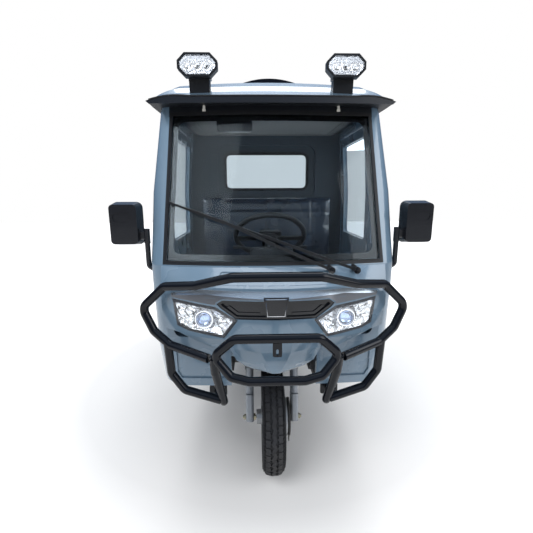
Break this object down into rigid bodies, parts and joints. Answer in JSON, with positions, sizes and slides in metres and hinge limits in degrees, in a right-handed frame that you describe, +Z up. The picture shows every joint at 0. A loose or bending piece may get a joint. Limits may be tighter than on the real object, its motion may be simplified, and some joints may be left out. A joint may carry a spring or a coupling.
{
  "type": "electric cargo tricycle",
  "caption": "Enclosed-cab electric cargo tricycle with a bull bar, roof lamps, steered front wheel, swinging doors and a drop-side bed behind.",
  "frame": {"origin": "on the ground, under the middle of the box around the whole vehicle", "axes": "+Z up, -Y the way it drives, +X the driver's left"},
  "size_m": [1.384, 2.9099, 1.958],
  "materials": {
    "body_paint": "light grey-blue gloss paint",
    "brow_silver": "satin silver paint",
    "grille_black": "moulded black plastic",
    "lamp_chrome": "vacuum-metallised reflector",
    "clear_lens": "clear lens",
    "black_tube": "black powder coat",
    "black_plastic": "grained black plastic",
    "mirror_silver": "silvered glass",
    "lamp_alloy": "black anodised die casting",
    "screen_glass": "clear laminated glass",
    "seal_rubber": "black rubber seal",
    "floor_coating": "dark underbody coating",
    "seat_cover": "black artificial leather under clear film",
    "battery_case": "black case",
    "chassis_black": "black chassis paint",
    "fork_paint": "silver-grey paint",
    "zinc_steel": "yellow zinc plating",
    "hub_iron": "painted cast iron",
    "rim_paint": "silver wheel paint",
    "tyre_rubber": "black tread rubber",
    "bed_paint": "light grey-blue gloss paint",
    "tail_red": "red lens"
  },
  "bodies": {
    "chassis": {"cab_frame": "body_paint", "cab_rear_wall": "body_paint", "roof_panel": "body_paint", "front_fascia": "body_paint", "nose_panel": "body_paint", "front_lower_panels": "body_paint", "brow_trim": "brow_silver", "grille_panel": "grille_black", "headlamp_housings": "lamp_chrome", "headlamp_lenses": "clear_lens", "work_lamp_lenses": "clear_lens", "bull_bar": "black_tube", "roof_strip": "black_tube", "mirror_housings": "black_plastic", "wiper": "black_plastic", "dashboard": "black_plastic", "steering_column": "black_plastic", "mirror_glasses": "mirror_silver", "cabin_mirror": "mirror_silver", "work_lamps": "lamp_alloy", "windscreen_glass": "screen_glass", "rear_window_glass": "screen_glass", "quarter_glasses": "screen_glass", "windscreen_seal": "seal_rubber", "cab_floor": "floor_coating", "wheel_house": "floor_coating", "seat_base": "floor_coating", "seat_frame": "floor_coating", "seat_cushion": "seat_cover", "seat_back": "seat_cover", "battery_pack": "battery_case", "main_frame": "chassis_black", "pedals": "chassis_black", "leaf_springs": "chassis_black", "rear_bumper": "chassis_black", "rear_mudguards": "chassis_black", "rear_axle": "hub_iron", "drive_motor": "hub_iron", "bed_floor": "bed_paint", "tail_lamps": "tail_red"},
    "fork": {"fork_yoke": "fork_paint", "fork_legs": "fork_paint", "front_axle": "zinc_steel", "front_brake": "hub_iron"},
    "front_road_wheel": {"front_wheel": "rim_paint", "front_tyre": "tyre_rubber"},
    "steering_wheel": {"steering_wheel": "black_plastic"},
    "rear_road_wheel_left": {"rear_wheel_left": "rim_paint", "rear_tyre_left": "tyre_rubber"},
    "rear_road_wheel_right": {"rear_wheel_right": "rim_paint", "rear_tyre_right": "tyre_rubber"},
    "left_door": {"door_left": "body_paint", "door_glass_left": "screen_glass"},
    "right_door": {"door_right": "body_paint", "door_glass_right": "screen_glass"},
    "left_side": {"bed_side_left": "bed_paint"},
    "right_side": {"bed_side_right": "bed_paint"},
    "gate": {"tailgate": "bed_paint"}
  },
  "joints": [
    {"name": "steer", "type": "hinge", "parent": "chassis", "child": "fork", "pos_m": [0, -0.97076, 0.25972], "axis": [0, 0.2079, 0.9781], "range_deg": [-35, 35]},
    {"name": "front_spin", "type": "hinge", "parent": "fork", "child": "front_road_wheel", "pos_m": [0, -1.005, 0.267], "axis": [1, 0, 0], "continuous": true},
    {"name": "steering_wheel_turn", "type": "hinge", "parent": "chassis", "child": "steering_wheel", "pos_m": [0, -0.771, 1.171], "axis": [0, 0.6691, 0.7431], "range_deg": [-210, 210]},
    {"name": "rear_spin_left", "type": "hinge", "parent": "chassis", "child": "rear_road_wheel_left", "pos_m": [0.44, 0.955, 0.28], "axis": [1, 0, 0], "continuous": true},
    {"name": "rear_spin_right", "type": "hinge", "parent": "chassis", "child": "rear_road_wheel_right", "pos_m": [-0.44, 0.955, 0.28], "axis": [1, 0, 0], "continuous": true},
    {"name": "door_left_swing", "type": "hinge", "parent": "chassis", "child": "left_door", "pos_m": [0.536, -0.85, 1], "axis": [0, 0, 1], "range_deg": [-70, 0]},
    {"name": "door_right_swing", "type": "hinge", "parent": "chassis", "child": "right_door", "pos_m": [-0.536, -0.85, 1], "axis": [0, 0, 1], "range_deg": [0, 70]},
    {"name": "side_left_drop", "type": "hinge", "parent": "chassis", "child": "left_side", "pos_m": [0.562, 0.595, 0.628], "axis": [0, 1, 0], "range_deg": [0, 170]},
    {"name": "side_right_drop", "type": "hinge", "parent": "chassis", "child": "right_side", "pos_m": [-0.562, 0.595, 0.628], "axis": [0, 1, 0], "range_deg": [-170, 0]},
    {"name": "tailgate_drop", "type": "hinge", "parent": "chassis", "child": "gate", "pos_m": [0, 1.447, 0.628], "axis": [1, 0, 0], "range_deg": [-170, 0]}
  ],
  "couplings": [
    {"joint": "steering_wheel_turn", "follows": "steer", "ratio": 6}
  ]
}
